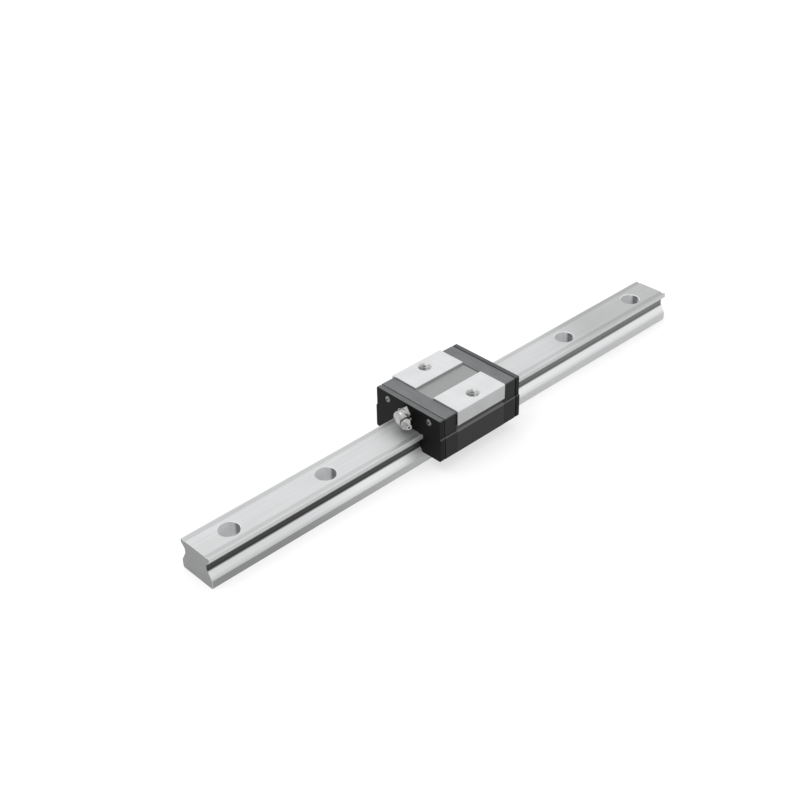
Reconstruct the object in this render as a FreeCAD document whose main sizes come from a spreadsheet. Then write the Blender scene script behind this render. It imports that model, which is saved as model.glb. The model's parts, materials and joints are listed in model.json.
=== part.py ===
import FreeCAD, Part

import math
import os

import Sketcher

# Linear guide carriage on its rail, millimetres.
# +X runs along the rail, +Y across it to the left, +Z up. The origin is the
# centre of the rail's bottom face. "front" is the -X end of the carriage,
# which carries the grease nipple.

FRONT = -1
REAR = 1
LEFT = 1
RIGHT = -1
ENDS = {"front": FRONT, "rear": REAR}
SIDES = {"left": LEFT, "right": RIGHT}

DIMENSIONS = {
    # rail
    "rail_length": 340.0,
    "rail_tall": 18.0,
    "head_half": 10.9,
    "head_bevel": 0.4,
    "base_half": 11.5,
    "base_side_tall": 5.1,
    "base_bevel": 0.8,
    "flare_lean": 30.0,
    "rail_end_bevel": 0.2,
    "bolt_pitch": 60.0,
    "bolt_count": 6,
    "bolt_radius": 3.5,
    "bolt_head_radius": 5.5,
    "bolt_head_deep": 9.0,
    "bolt_rim_bevel": 0.35,
    # ball rows, centres seen along the rail
    "ball_radius": 1.985,
    "race_radius": 2.065,
    "upper_row_y": 8.6,
    "upper_row_z": 19.665,
    "lower_row_y": 10.45,
    "lower_row_z": 12.35,
    "lower_race_start": 134.0,
    "upper_race_shoulder": 30.0,
    "lower_race_top": 35.0,
    "lower_race_foot": -62.0,
    "upper_turn_radius": 2.7,
    "upper_turn_tilt": 22.0,
    "lower_turn_radius": 3.925,
    "lower_turn_tilt": 0.0,
    "channel_radius": 2.15,
    "upper_ball_count": 19,
    "lower_ball_count": 22,
    # carriage block
    "carriage_x": -4.0,
    "block_length": 35.2,
    "block_half": 24.0,
    "block_top": 33.0,
    "block_bottom": 7.0,
    "top_bevel": 0.5,
    "recess_half": 6.1,
    "recess_deep": 1.3,
    "recess_wall_lean": 0.4,
    "band_bottom": 24.0,
    "notch_deep": 1.0,
    "notch_bottom": 21.3,
    "skirt_top": 20.3,
    "skirt_inset": 0.1,
    "skirt_bevel": 0.6,
    "tunnel_half": 11.6,
    "tunnel_roof": 19.2,
    "tunnel_bevel": 0.6,
    "pocket_half": 2.15,
    "leg_tip_z": 10.3,
    "leg_inner": 12.35,
    "seal_seat_outer": 19.2,
    "seal_seat_z": 7.85,
    "tapped_half_pitch": 17.5,
    "tapped_radius": 2.5,
    "tapped_deep": 9.0,
    "tapped_tip": 1.5,
    "tapped_bevel": 0.6,
    # end plates and seals
    "plate_thick": 8.5,
    "plate_half": 23.2,
    "plate_top": 32.0,
    "plate_bevel": 0.45,
    "plate_skirt_half": 23.9,
    "plate_skirt_top": 20.2,
    "plate_ledge_top": 20.9,
    "plate_foot_bevel": 0.7,
    "plate_rail_gap": 0.9,
    "core_thick": 1.0,
    "core_inset": 0.35,
    "core_rail_gap": 1.1,
    "seal_thick": 2.5,
    "seal_inset": 0.05,
    "seal_rail_gap": 0.8,
    "lip_rail_gap": 0.12,
    "lip_thick": 0.8,
    "spool_half_tall": 2.5,
    "guide_play": 0.04,
    "web_inner": 12.2,
    "web_outer": 13.6,
    "web_bottom": 14.4,
    "web_top": 18.7,
    "web_deep": 2.0,
    "grease_groove_wide": 1.6,
    "grease_groove_deep": 0.9,
    "grease_groove_reach": 11.6,
    "grease_groove_drop": 22.4,
    # fasteners and grease fittings
    "screw_y": 15.0,
    "screw_z": 27.7,
    "screw_radius": 1.0,
    "screw_hole_radius": 1.05,
    "screw_grip": 6.0,
    "screw_hole_deep": 7.5,
    "screw_head_radius": 1.9,
    "screw_head_thick": 1.4,
    "screw_rim_thick": 0.6,
    "screw_flat_radius": 0.95,
    "screw_crown_bulge": 0.12,
    "screw_tip_bevel": 0.25,
    "screw_proud": 0.3,
    "screw_seat_play": 0.1,
    "screw_socket_radius": 0.75,
    "screw_socket_deep": 0.8,
    "port_z": 26.0,
    "port_radius": 3.0,
    "port_play": 0.03,
    "port_thread_deep": 7.0,
    "plug_thick": 5.5,
    "plug_socket_flats": 3.0,
    "plug_socket_deep": 2.5,
    "plug_sunk": 0.6,
    "nipple_flats": 8.6,
    "nipple_hex_long": 3.0,
    "nipple_hex_bevel": 0.35,
    "nipple_tip_bevel": 0.5,
    "nipple_body_radius": 4.15,
    "nipple_body_long": 7.0,
    "nipple_crown": 1.4,
    "nipple_crown_step": 0.45,
    "nipple_turn": 67.5,
    "nipple_turn_from_face": 4.3,
    "nozzle_long": 10.2,
    "nozzle_flats": 6.6,
    "nozzle_hex_end": 5.3,
    "nozzle_neck_radius": 2.35,
    "nozzle_rim_radius": 3.25,
    "nozzle_neck_end": 6.1,
    "nozzle_rim_start": 6.7,
    "nozzle_rim_end": 7.7,
    "nozzle_tip_radius": 1.5,
    "nozzle_bore": 1.15,
    "nozzle_mouth": 0.65,
    "nozzle_seat_start": 8.75,
    "nozzle_seat_long": 0.6,
    "nozzle_bore_start": 3.4,
    "feed_radius": 0.7,
    "check_ball_radius": 1.0,
    "check_ball_at": 8.53,
    "spring_start": 3.45,
    "spring_end": 7.5,
    "spring_radius": 0.95,
    "spring_wire_radius": 0.12,
    "spring_turns": 5.0,
    # ball retainers and side seals
    "upper_retainer_top_half": 6.4,
    "upper_retainer_half": 6.85,
    "upper_retainer_bottom": 18.4,
    "lower_retainer_tip": 9.45,
    "lower_retainer_web": 11.75,
    "lower_retainer_thick": 0.5,
    "lower_retainer_bottom": 8.3,
    "side_seal_outer": 18.9,
    "side_seal_edge": 10.5,
    "side_seal_thick": 0.7,
    "side_seal_lip_tall": 0.35,
}


class Size:
    """A size that knows both its number and the sheet expression behind it."""

    def __init__(self, number, text):
        self.number = number
        self.text = text

    def joined(self, other, sign, number):
        other_text = other.text if isinstance(other, Size) else repr(other)
        return Size(number, f"({self.text} {sign} {other_text})")

    def __add__(self, other):
        return self.joined(other, "+", self.number + plain(other))

    def __sub__(self, other):
        return self.joined(other, "-", self.number - plain(other))

    def __mul__(self, other):
        return self.joined(other, "*", self.number * plain(other))

    def __truediv__(self, other):
        return self.joined(other, "/", self.number / plain(other))

    def __neg__(self):
        return self * -1


def plain(value):
    """The number of a Size, or the number itself."""
    return value.number if isinstance(value, Size) else value


def size(alias):
    """A driving dimension from the sheet."""
    return Size(float(DIMENSIONS[alias]), f"Sizes.{alias}")


def cosine(angle):
    return Size(math.cos(math.radians(angle.number)), f"cos({angle.text})")


def sine(angle):
    return Size(math.sin(math.radians(angle.number)), f"sin({angle.text})")


def tangent(angle):
    return Size(math.tan(math.radians(angle.number)), f"tan({angle.text})")


def root(value):
    return Size(math.sqrt(value.number), f"sqrt({value.text})")


doc = FreeCAD.newDocument("linear_guide")


def make_sheet():
    """Put every driving dimension in the sheet under its own alias."""
    sheet = doc.addObject("Spreadsheet::Sheet", "Sizes")
    for row, (alias, number) in enumerate(DIMENSIONS.items(), start=1):
        sheet.set(f"A{row}", alias)
        sheet.set(f"B{row}", str(number))
        sheet.setAlias(f"B{row}", alias)
    doc.recompute()


# ---------------------------------------------------------------- helpers

def bind(target, **values):
    """Set properties of an object and tie each one to the sheet."""
    for name, value in values.items():
        if isinstance(value, Size):
            setattr(target, name, value.number)
            target.setExpression(name, value.text)
        else:
            setattr(target, name, value)


def place(target, x=None, y=None, z=None, path="Placement", turn=None):
    """Tie the offset (and the turn about the normal) of a placement to the sheet."""
    axis = FreeCAD.Vector(0, 0, 1)
    angle = plain(turn) if turn is not None else 0.0
    base = FreeCAD.Vector(*[plain(value) if value is not None else 0.0 for value in (x, y, z)])
    setattr(target, path, FreeCAD.Placement(base, FreeCAD.Rotation(axis, angle)))
    for name, value in (("x", x), ("y", y), ("z", z)):
        if isinstance(value, Size):
            target.setExpression(f"{path}.Base.{name}", value.text)
    if isinstance(turn, Size):
        target.setExpression(f"{path}.Rotation.Angle", turn.text)


def new_body(label):
    body = doc.addObject("PartDesign::Body", label)
    body.Label = label
    return body


def origin_feature(body, role):
    return next(item for item in body.Origin.OriginFeatures if item.Role == role)


def new_sketch(body, name, role, across=None, up=None, out=None, turn=None):
    """A sketch on one of the body's origin planes, moved within and off that plane."""
    sketch = body.newObject("Sketcher::SketchObject", f"{body.Name}_{name}")
    sketch.AttachmentSupport = [(origin_feature(body, role), "")]
    sketch.MapMode = "FlatFace"
    place(sketch, across, up, out, path="AttachmentOffset", turn=turn)
    return sketch


def lock_point(sketch, edge, end, point):
    """Hold one end of an edge at its place, measured from the sketch's origin."""
    for kind, value in (("DistanceX", point[0]), ("DistanceY", point[1])):
        index = sketch.addConstraint(Sketcher.Constraint(kind, -1, 1, edge, end, plain(value)))
        if isinstance(value, Size):
            sketch.setExpression(f"Constraints[{index}]", value.text)


def arc_through(start, finish, radius):
    """The short arc between two points; a positive radius turns to the left."""
    chord = finish - start
    middle = (start + finish) * 0.5
    reach = math.sqrt(max(radius ** 2 - (chord.Length / 2) ** 2, 0.0))
    left = FreeCAD.Vector(-chord.y, chord.x, 0).normalize()
    centre = middle + left * math.copysign(reach, radius)
    first, last = (start, finish) if radius > 0 else (finish, start)
    angles = [math.atan2(point.y - centre.y, point.x - centre.x) for point in (first, last)]
    circle = Part.Circle(centre, FreeCAD.Vector(0, 0, 1), abs(radius))
    return Part.ArcOfCircle(circle, *angles)


def draw_outline(sketch, points):
    """Draw a closed outline. A point is (across, up), or (across, up, radius) after an arc."""
    spots = [FreeCAD.Vector(plain(point[0]), plain(point[1]), 0) for point in points]
    ends = []
    for index, point in enumerate(points):
        start, finish = spots[index - 1], spots[index]
        if len(point) == 3:
            edge = sketch.addGeometry(arc_through(start, finish, plain(point[2])))
            radius = point[2] if plain(point[2]) > 0 else -point[2]
            held = sketch.addConstraint(Sketcher.Constraint("Radius", edge, plain(radius)))
            sketch.setExpression(f"Constraints[{held}]", radius.text)
            ends.append((edge, 1, 2) if plain(point[2]) > 0 else (edge, 2, 1))
        else:
            edge = sketch.addGeometry(Part.LineSegment(start, finish))
            ends.append((edge, 1, 2))
    for index, point in enumerate(points):
        edge, _, finish_end = ends[index]
        next_edge, next_start, _ = ends[(index + 1) % len(ends)]
        sketch.addConstraint(Sketcher.Constraint("Coincident", edge, finish_end, next_edge, next_start))
        lock_point(sketch, edge, finish_end, point)


def draw_circle(sketch, across, up, radius):
    centre = FreeCAD.Vector(plain(across), plain(up), 0)
    circle = sketch.addGeometry(Part.Circle(centre, FreeCAD.Vector(0, 0, 1), plain(radius)))
    held = sketch.addConstraint(Sketcher.Constraint("Radius", circle, plain(radius)))
    sketch.setExpression(f"Constraints[{held}]", radius.text)
    lock_point(sketch, circle, 3, (across, up))


def draw_hexagon(sketch, across, up, flats):
    """A hexagon given by its width over the flats, with corners up and down."""
    corner = flats / math.sqrt(3)
    half = flats / 2
    draw_outline(sketch, [
        (across, up + corner),
        (across + half, up + corner / 2),
        (across + half, up - corner / 2),
        (across, up - corner),
        (across - half, up - corner / 2),
        (across - half, up + corner / 2),
    ])


def mirrored(half):
    """Close an outline that is given only on its +Y side, from the top to the bottom."""
    across = [(-point[0], point[1]) for point in half]
    left = []
    for index in range(len(half) - 1, -1, -1):
        arrives_by_arc = index + 1 < len(half) and len(half[index + 1]) == 3
        left.append(across[index] + ((half[index + 1][2],) if arrives_by_arc else ()))
    return list(half) + left


def feature(body, kind, name, sketch, **values):
    """Add a sketch-based feature and check that it really adds or removes material."""
    doc.recompute()
    before = body.Shape.Volume if body.Tip else 0.0
    item = body.newObject(f"PartDesign::{kind}", f"{body.Name}_{name}")
    item.Profile = sketch
    bind(item, **values)
    doc.recompute()
    change = body.Shape.Volume - before
    if abs(change) < 1e-6 or (kind in ("Pocket", "Groove")) != (change < 0):
        raise RuntimeError(f"{item.Name} changed the volume by {change:.4f} mm3")
    return item


def pad(body, name, sketch, length, toward=None):
    """Pad a sketch evenly both ways, or only toward one end (FRONT or REAR)."""
    values = {"Midplane": True} if toward is None else {"Reversed": toward == FRONT}
    return feature(body, "Pad", name, sketch, Length=length, **values)


def pocket(body, name, sketch, depth, toward=None):
    """Cut a sketch out evenly both ways, or only toward one end."""
    values = {"Midplane": True} if toward is None else {"Reversed": toward == REAR}
    return feature(body, "Pocket", name, sketch, Length=depth, **values)


def turned(body, kind, name, sketch, angle=360.0, backwards=False):
    """Revolve or groove a sketch about its own vertical axis."""
    return feature(body, kind, name, sketch, ReferenceAxis=(sketch, ["V_Axis"]),
                   Angle=angle, Reversed=backwards)


def mirror_across(body, features):
    """Repeat features on the other side of the rail's middle plane."""
    item = body.newObject("PartDesign::Mirrored", f"{body.Name}_other_side")
    item.Originals = features
    item.MirrorPlane = (origin_feature(body, "XZ_Plane"), [""])
    body.Tip = item
    doc.recompute()
    return item


def group(label, shapes):
    """Several separate solids that share one node."""
    item = doc.addObject("Part::Feature", label)
    item.Label = label
    item.Shape = Part.makeCompound(shapes)
    return item


# ------------------------------------------------------ outlines across the rail

def rail_half_outline(gap):
    """The +Y side of the rail's outline, grown by a gap, from the top to the bottom."""
    lean = size("flare_lean")
    top = size("rail_tall") + gap
    race = size("race_radius") - gap
    race_above = size("upper_row_z") - top
    half_chord = root(race * race - race_above * race_above)
    bevel_shift = gap * math.tan(math.radians(22.5))
    side = size("head_half") + gap
    start = size("lower_race_start")
    row_y = size("lower_row_y")
    row_z = size("lower_row_z")
    overhang_z = row_z + (race - cosine(start) * (side - row_y)) / sine(start)
    neck = row_y - race
    base = size("base_half") + gap
    flare_shift = tangent(lean / 2) * gap
    base_side_top = size("base_side_tall") + flare_shift
    neck_foot = base_side_top + (base - neck) / tangent(lean)
    return [
        (size("upper_row_y") - half_chord, top),
        (size("upper_row_y") + half_chord, top, race),
        (side - size("head_bevel") + bevel_shift - gap, top),
        (side, top - size("head_bevel") + bevel_shift - gap),
        (side, overhang_z),
        (row_y + race * cosine(start), row_z + race * sine(start)),
        (neck, row_z, race),
        (neck, neck_foot),
        (base, base_side_top),
        (base, size("base_bevel") - bevel_shift),
        (base - size("base_bevel") + bevel_shift, -gap),
    ]


def block_outer_outline():
    """The +Y side of the block without its tunnel, from the top to the bottom."""
    top = size("block_top")
    side = size("block_half")
    skirt = side - size("skirt_inset")
    notch = side - size("notch_deep")
    floor = size("block_bottom")
    return [
        (size("recess_half"), top - size("recess_deep")),
        (size("recess_half") + size("recess_wall_lean"), top),
        (side - size("top_bevel"), top),
        (side, top - size("top_bevel")),
        (side, size("band_bottom")),
        (notch, size("band_bottom")),
        (notch, size("notch_bottom")),
        (skirt, size("skirt_top")),
        (skirt, floor + size("skirt_bevel")),
        (skirt - size("skirt_bevel"), floor),
        (size("seal_seat_outer"), floor),
        (size("seal_seat_outer"), size("seal_seat_z")),
    ]


def block_tunnel_outline():
    """The +Y side of the tunnel through the block, with its two raceways."""
    roof = size("tunnel_roof")
    wall = size("tunnel_half")
    race = size("race_radius")
    row_y = size("upper_row_y")
    row_z = size("upper_row_z")
    low_y = size("lower_row_y")
    low_z = size("lower_row_z")
    shoulder = race * cosine(size("upper_race_shoulder"))
    shoulder_z = row_z + race * sine(size("upper_race_shoulder"))
    low_top = size("lower_race_top")
    low_foot = size("lower_race_foot")
    return [
        (row_y - size("pocket_half"), roof),
        (row_y - size("pocket_half"), row_z),
        (row_y - shoulder, shoulder_z),
        (row_y + shoulder, shoulder_z, -race),
        (row_y + size("pocket_half"), row_z),
        (row_y + size("pocket_half"), roof),
        (wall - size("tunnel_bevel"), roof),
        (wall, roof - size("tunnel_bevel")),
        (wall, low_z + race),
        (low_y + race * cosine(low_top), low_z + race * sine(low_top)),
        (low_y + race * cosine(low_foot), low_z + race * sine(low_foot), -race),
        (low_y + race * cosine(low_foot), size("leg_tip_z")),
        (size("leg_inner"), size("leg_tip_z")),
        (size("leg_inner"), size("seal_seat_z")),
        (size("seal_seat_outer"), size("seal_seat_z")),
        (size("seal_seat_outer"), size("block_bottom") - 1.0),
    ]


def plate_outline(inset):
    """The +Y side of an end plate's outer outline, drawn in by an inset."""
    top = size("plate_top") - inset
    side = size("plate_half") - inset
    skirt = size("plate_skirt_half") - inset
    floor = size("block_bottom") + inset
    return [
        (side - size("plate_bevel"), top),
        (side, top - size("plate_bevel")),
        (side, size("plate_ledge_top")),
        (skirt, size("plate_skirt_top")),
        (skirt, floor + size("plate_foot_bevel")),
        (skirt - size("plate_foot_bevel"), floor),
    ]


# ------------------------------------------------------------------- rail

def make_rail():
    body = new_body("rail")
    section = new_sketch(body, "section", "YZ_Plane")
    draw_outline(section, mirrored(rail_half_outline(0.0)))
    bar = pad(body, "bar", section, size("rail_length"))

    first_bolt = size("bolt_pitch") * (size("bolt_count") - 1) / -2
    profile = new_sketch(body, "bolt_profile", "XZ_Plane", across=first_bolt)
    seat = size("rail_tall") - size("bolt_head_deep")
    head = size("bolt_head_radius")
    rim = size("bolt_rim_bevel")
    draw_outline(profile, [
        (0.0, -1.0),
        (size("bolt_radius"), -1.0),
        (size("bolt_radius"), seat),
        (head, seat),
        (head, size("rail_tall") - rim),
        (head + rim, size("rail_tall")),
        (head + rim, size("rail_tall") + 1.0),
        (0.0, size("rail_tall") + 1.0),
    ])
    bolt_hole = turned(body, "Groove", "bolt_hole", profile)

    row = body.newObject("PartDesign::LinearPattern", "rail_bolt_row")
    row.Originals = [bolt_hole]
    row.Direction = (origin_feature(body, "X_Axis"), [""])
    bind(row, Length=size("bolt_pitch") * (size("bolt_count") - 1))
    row.Occurrences = int(DIMENSIONS["bolt_count"])
    body.Tip = row
    doc.recompute()

    end_x = DIMENSIONS["rail_length"] / 2
    end_edges = [
        f"Edge{index}"
        for index, edge in enumerate(row.Shape.Edges, start=1)
        if all(abs(abs(vertex.X) - end_x) < 1e-6 for vertex in edge.Vertexes)
    ]
    bevel = body.newObject("PartDesign::Chamfer", "rail_end_bevels")
    bevel.Base = (row, end_edges)
    bind(bevel, Size=size("rail_end_bevel"))
    body.Tip = bevel
    doc.recompute()
    return body


# --------------------------------------------------------- carriage block

def make_block():
    body = new_body("block_body")
    length = size("block_length")
    outer = new_sketch(body, "outer", "YZ_Plane")
    draw_outline(outer, mirrored(block_outer_outline()))
    pad(body, "bar", outer, length)

    tunnel = new_sketch(body, "tunnel", "YZ_Plane")
    draw_outline(tunnel, mirrored(block_tunnel_outline()))
    pocket(body, "tunnel_cut", tunnel, length + 2.0)

    returns = new_sketch(body, "returns", "YZ_Plane")
    for side in SIDES.values():
        for row in ("upper", "lower"):
            across, up = return_row(row)
            draw_circle(returns, across * side, up, size("channel_radius"))
    pocket(body, "return_holes", returns, length + 2.0)

    top = size("block_top")
    floor = top - size("tapped_deep")
    tapped = size("tapped_radius")
    rim = tapped + size("tapped_bevel")
    profile = new_sketch(body, "tapped_profile", "YZ_Plane", across=size("tapped_half_pitch"))
    draw_outline(profile, [
        (0.0, floor - size("tapped_tip")),
        (tapped, floor),
        (tapped, top - size("tapped_bevel")),
        (rim, top),
        (rim, top + 1.0),
        (0.0, top + 1.0),
    ])
    tapped_hole = turned(body, "Groove", "tapped_hole", profile)
    mirror_across(body, [tapped_hole])

    for end, sign in ENDS.items():
        screws = new_sketch(body, f"screws_{end}", "YZ_Plane", out=length / 2 * sign)
        for side in SIDES.values():
            draw_circle(screws, size("screw_y") * side, size("screw_z"), size("screw_hole_radius"))
        pocket(body, f"screw_holes_{end}", screws, size("screw_hole_deep"), toward=-sign)
    return body


# ------------------------------------------------------------ ball turns

def load_row(row):
    """Centre of a loaded ball row on the +Y side."""
    return size(f"{row}_row_y"), size(f"{row}_row_z")


def turn_centre(row):
    """Middle of a ball turn on the +Y side, between its loaded and return rows."""
    across, up = load_row(row)
    tilt = size(f"{row}_turn_tilt")
    radius = size(f"{row}_turn_radius")
    return across + radius * cosine(tilt), up + radius * sine(tilt)


def return_row(row):
    """Centre of a return hole on the +Y side."""
    across, up = load_row(row)
    tilt = size(f"{row}_turn_tilt")
    span = size(f"{row}_turn_radius") * 2
    return across + span * cosine(tilt), up + span * sine(tilt)


def turn_sketch(body, name, row, side, end):
    """A sketch on the block's end face whose vertical axis is the axis of one ball turn."""
    across, up = turn_centre(row)
    return new_sketch(body, name, "YZ_Plane", across=across * side, up=up,
                      out=size("block_length") / 2 * end,
                      turn=size(f"{row}_turn_tilt") * side)


def spool_outline(radius, half_tall, side):
    """Half of the section of the spool that a ball row turns around."""
    return [(0.0, -half_tall), (radius * side, -half_tall), (radius * side, half_tall), (0.0, half_tall)]


def cut_tunnel(body, gap, depth, name="rail_passage", out=None, toward=None):
    """Cut the rail's outline, grown by a gap, out of a plate."""
    passage = new_sketch(body, name, "YZ_Plane", out=out)
    draw_outline(passage, mirrored(rail_half_outline(gap)))
    return pocket(body, f"{name}_cut", passage, depth, toward)


def web_outline(side, play=0.0):
    """The web that joins the upper and the lower spool of a return guide."""
    inner = (size("web_inner") - play) * side
    outer = (size("web_outer") + play) * side
    bottom = size("web_bottom") - play
    top = size("web_top") + play
    return [(inner, bottom), (outer, bottom), (outer, top), (inner, top)]


def make_return_guide(end_name, side_name):
    """Inner guide of both ball turns on one side of one end."""
    end, side = ENDS[end_name], SIDES[side_name]
    body = new_body(f"return_guide_{end_name}_{side_name}")
    face = size("block_length") / 2 * end
    backwards = side * end == 1
    for row in ("lower", "upper"):
        spool = turn_sketch(body, f"{row}_spool", row, side, end)
        radius = size(f"{row}_turn_radius")
        draw_outline(spool, spool_outline(radius, size("spool_half_tall"), side))
        turned(body, "Revolution", f"{row}_spool_solid", spool, 180.0, backwards)
        if row == "lower":
            web = new_sketch(body, "web", "YZ_Plane", out=face)
            draw_outline(web, web_outline(side))
            pad(body, "web_bar", web, size("web_deep"), toward=end)
    for row in ("lower", "upper"):
        channel = turn_sketch(body, f"{row}_channel", row, side, end)
        draw_circle(channel, size(f"{row}_turn_radius") * side, Size(0.0, "0"), size("channel_radius"))
        turned(body, "Groove", f"{row}_channel_cut", channel, 180.0, backwards)
    cut_tunnel(body, size("plate_rail_gap"), size("block_length") * 2)
    return body


def ball_positions(row, side):
    """Centres of the balls of one circuit, evenly spaced along its whole loop."""
    across, up = [plain(value) for value in load_row(row)]
    radius = DIMENSIONS[f"{row}_turn_radius"]
    tilt = math.radians(DIMENSIONS[f"{row}_turn_tilt"])
    straight = DIMENSIONS["block_length"]
    half_loop = straight + math.pi * radius
    count = DIMENSIONS[f"{row}_ball_count"]
    for index in range(count):
        travelled = (index + 0.5) * 2 * half_loop / count
        direction = 1 if travelled < half_loop else -1
        along = travelled % half_loop
        if along < straight:
            x = along - straight / 2
            angle = 0.0
        else:
            angle = (along - straight) / radius
            x = straight / 2 + radius * math.sin(angle)
        from_row = radius * (1 - math.cos(angle))
        from_load = from_row if direction == 1 else 2 * radius - from_row
        y = side * (across + from_load * math.cos(tilt))
        yield FreeCAD.Vector(direction * x, y, up + from_load * math.sin(tilt))


def make_balls(row, side_name):
    radius = DIMENSIONS["ball_radius"]
    centres = ball_positions(row, SIDES[side_name])
    return group(f"balls_{row}_{side_name}", [Part.makeSphere(radius, centre) for centre in centres])


# ------------------------------------------------- end plates and end seals

def end_face(end, *layers):
    """Distance of a face from the carriage's middle, after the named layers of one end."""
    reach = size("block_length") / 2
    for layer in layers:
        reach = reach + size(layer)
    return reach * end


def drill_end(body, end, start, depth, screw_radius, port_radius):
    """The two screw holes and the grease port through one layer of an end."""
    holes = new_sketch(body, "holes", "YZ_Plane", out=start)
    for side in SIDES.values():
        draw_circle(holes, size("screw_y") * side, size("screw_z"), screw_radius)
    draw_circle(holes, Size(0.0, "0"), size("port_z"), port_radius)
    pocket(body, "holes_cut", holes, depth, toward=end)


def make_end_plate(end_name):
    end = ENDS[end_name]
    body = new_body(f"end_plate_{end_name}")
    face = end_face(end)
    thick = size("plate_thick")
    play = size("guide_play")
    outline = new_sketch(body, "outline", "YZ_Plane", out=face)
    draw_outline(outline, mirrored(plate_outline(0.0)))
    pad(body, "slab", outline, thick, toward=end)
    cut_tunnel(body, size("plate_rail_gap"), thick, out=face, toward=end)
    drill_end(body, end, face, thick, size("screw_hole_radius"), size("port_radius"))

    grease = new_sketch(body, "grease_groove", "YZ_Plane", out=face)
    half = size("grease_groove_wide") / 2
    reach = size("grease_groove_reach")
    drop = size("grease_groove_drop")
    port = size("port_z")
    draw_outline(grease, mirrored([
        (reach, port + half),
        (reach, drop),
        (reach - half * 2, drop),
        (reach - half * 2, port - half),
    ]))
    pocket(body, "grease_groove_cut", grease, size("grease_groove_deep"), toward=end)

    cuts = []
    backwards = LEFT * end == 1
    for row in ("lower", "upper"):
        radius = size(f"{row}_turn_radius")
        spool = turn_sketch(body, f"{row}_spool", row, LEFT, end)
        draw_outline(spool, spool_outline(radius + play, size("spool_half_tall") + play, LEFT))
        cuts.append(turned(body, "Groove", f"{row}_spool_cut", spool, 180.0, backwards))
        channel = turn_sketch(body, f"{row}_channel", row, LEFT, end)
        draw_circle(channel, radius, Size(0.0, "0"), size("channel_radius"))
        cuts.append(turned(body, "Groove", f"{row}_channel_cut", channel, 180.0, backwards))
    web = new_sketch(body, "web", "YZ_Plane", out=face)
    draw_outline(web, web_outline(LEFT, play))
    cuts.append(pocket(body, "web_cut", web, size("web_deep") + play, toward=end))
    mirror_across(body, cuts)
    return body


def make_seal_core(end_name):
    """Steel stiffener between the end plate and the rubber face."""
    end = ENDS[end_name]
    body = new_body(f"seal_core_{end_name}")
    face = end_face(end, "plate_thick")
    outline = new_sketch(body, "outline", "YZ_Plane", out=face)
    draw_outline(outline, mirrored(plate_outline(size("core_inset"))))
    pad(body, "slab", outline, size("core_thick"), toward=end)
    cut_tunnel(body, size("core_rail_gap"), size("core_thick"), out=face, toward=end)
    drill_end(body, end, face, size("core_thick"), size("screw_hole_radius"), size("port_radius"))
    return body


def make_end_seal(end_name):
    """Rubber face of one end, with a lip that follows the rail all round."""
    end = ENDS[end_name]
    body = new_body(f"end_seal_{end_name}")
    face = end_face(end, "plate_thick", "core_thick")
    thick = size("seal_thick")
    outline = new_sketch(body, "outline", "YZ_Plane", out=face)
    draw_outline(outline, mirrored(plate_outline(size("seal_inset"))))
    pad(body, "slab", outline, thick, toward=end)
    cut_tunnel(body, size("lip_rail_gap"), thick, out=face, toward=end)
    cut_tunnel(body, size("seal_rail_gap"), thick - size("lip_thick"), "lip_relief", face, end)
    drill_end(body, end, face, thick, size("screw_hole_radius"), size("port_radius"))

    seats = new_sketch(body, "screw_seats", "YZ_Plane", out=end_face(end, "plate_thick", "core_thick", "seal_thick"))
    for side in SIDES.values():
        seat_radius = size("screw_head_radius") + size("screw_seat_play")
        draw_circle(seats, size("screw_y") * side, size("screw_z"), seat_radius)
    pocket(body, "screw_seats_cut", seats, size("screw_head_thick") - size("screw_proud"), toward=-end)
    return body


# ------------------------------------------------- fasteners and fittings

def end_screw(end, side):
    """A button-head screw with a hexagon socket, lying along the rail."""
    head = DIMENSIONS["screw_head_radius"]
    head_thick = DIMENSIONS["screw_head_thick"]
    shank = DIMENSIONS["screw_radius"]
    bevel = DIMENSIONS["screw_tip_bevel"]
    end_reach = abs(end_face(end, "plate_thick", "core_thick", "seal_thick").number)
    seat = end_reach - head_thick + DIMENSIONS["screw_proud"]
    tip = DIMENSIONS["block_length"] / 2 - DIMENSIONS["screw_grip"]
    rim = FreeCAD.Vector(seat + DIMENSIONS["screw_rim_thick"], 0, head)
    flat = FreeCAD.Vector(seat + head_thick, 0, DIMENSIONS["screw_flat_radius"])
    crown = (rim + flat) * 0.5 + FreeCAD.Vector(1, 0, 1) * DIMENSIONS["screw_crown_bulge"]
    below = [
        FreeCAD.Vector(seat + head_thick, 0, 0),
        FreeCAD.Vector(tip, 0, 0),
        FreeCAD.Vector(tip, 0, shank - bevel),
        FreeCAD.Vector(tip + bevel, 0, shank),
        FreeCAD.Vector(seat, 0, shank),
        FreeCAD.Vector(seat, 0, head),
    ]
    outline = Part.makePolygon([flat] + below + [rim])
    wire = Part.Wire(outline.Edges + [Part.Arc(rim, crown, flat).toShape()])
    solid = Part.Face(wire).revolve(FreeCAD.Vector(), FreeCAD.Vector(1, 0, 0), 360)
    corners = [
        FreeCAD.Vector(seat + head_thick, DIMENSIONS["screw_socket_radius"] * math.cos(math.radians(60 * step)),
                       DIMENSIONS["screw_socket_radius"] * math.sin(math.radians(60 * step)))
        for step in range(7)
    ]
    socket = Part.Face(Part.makePolygon(corners))
    solid = solid.cut(socket.extrude(FreeCAD.Vector(-DIMENSIONS["screw_socket_deep"], 0, 0)))
    if end == FRONT:
        solid = solid.mirror(FreeCAD.Vector(), FreeCAD.Vector(1, 0, 0))
    solid.translate(FreeCAD.Vector(0, DIMENSIONS["screw_y"] * side, DIMENSIONS["screw_z"]))
    return solid


def make_end_screws(end_name):
    return group(f"end_screws_{end_name}", [end_screw(ENDS[end_name], side) for side in SIDES.values()])


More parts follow.
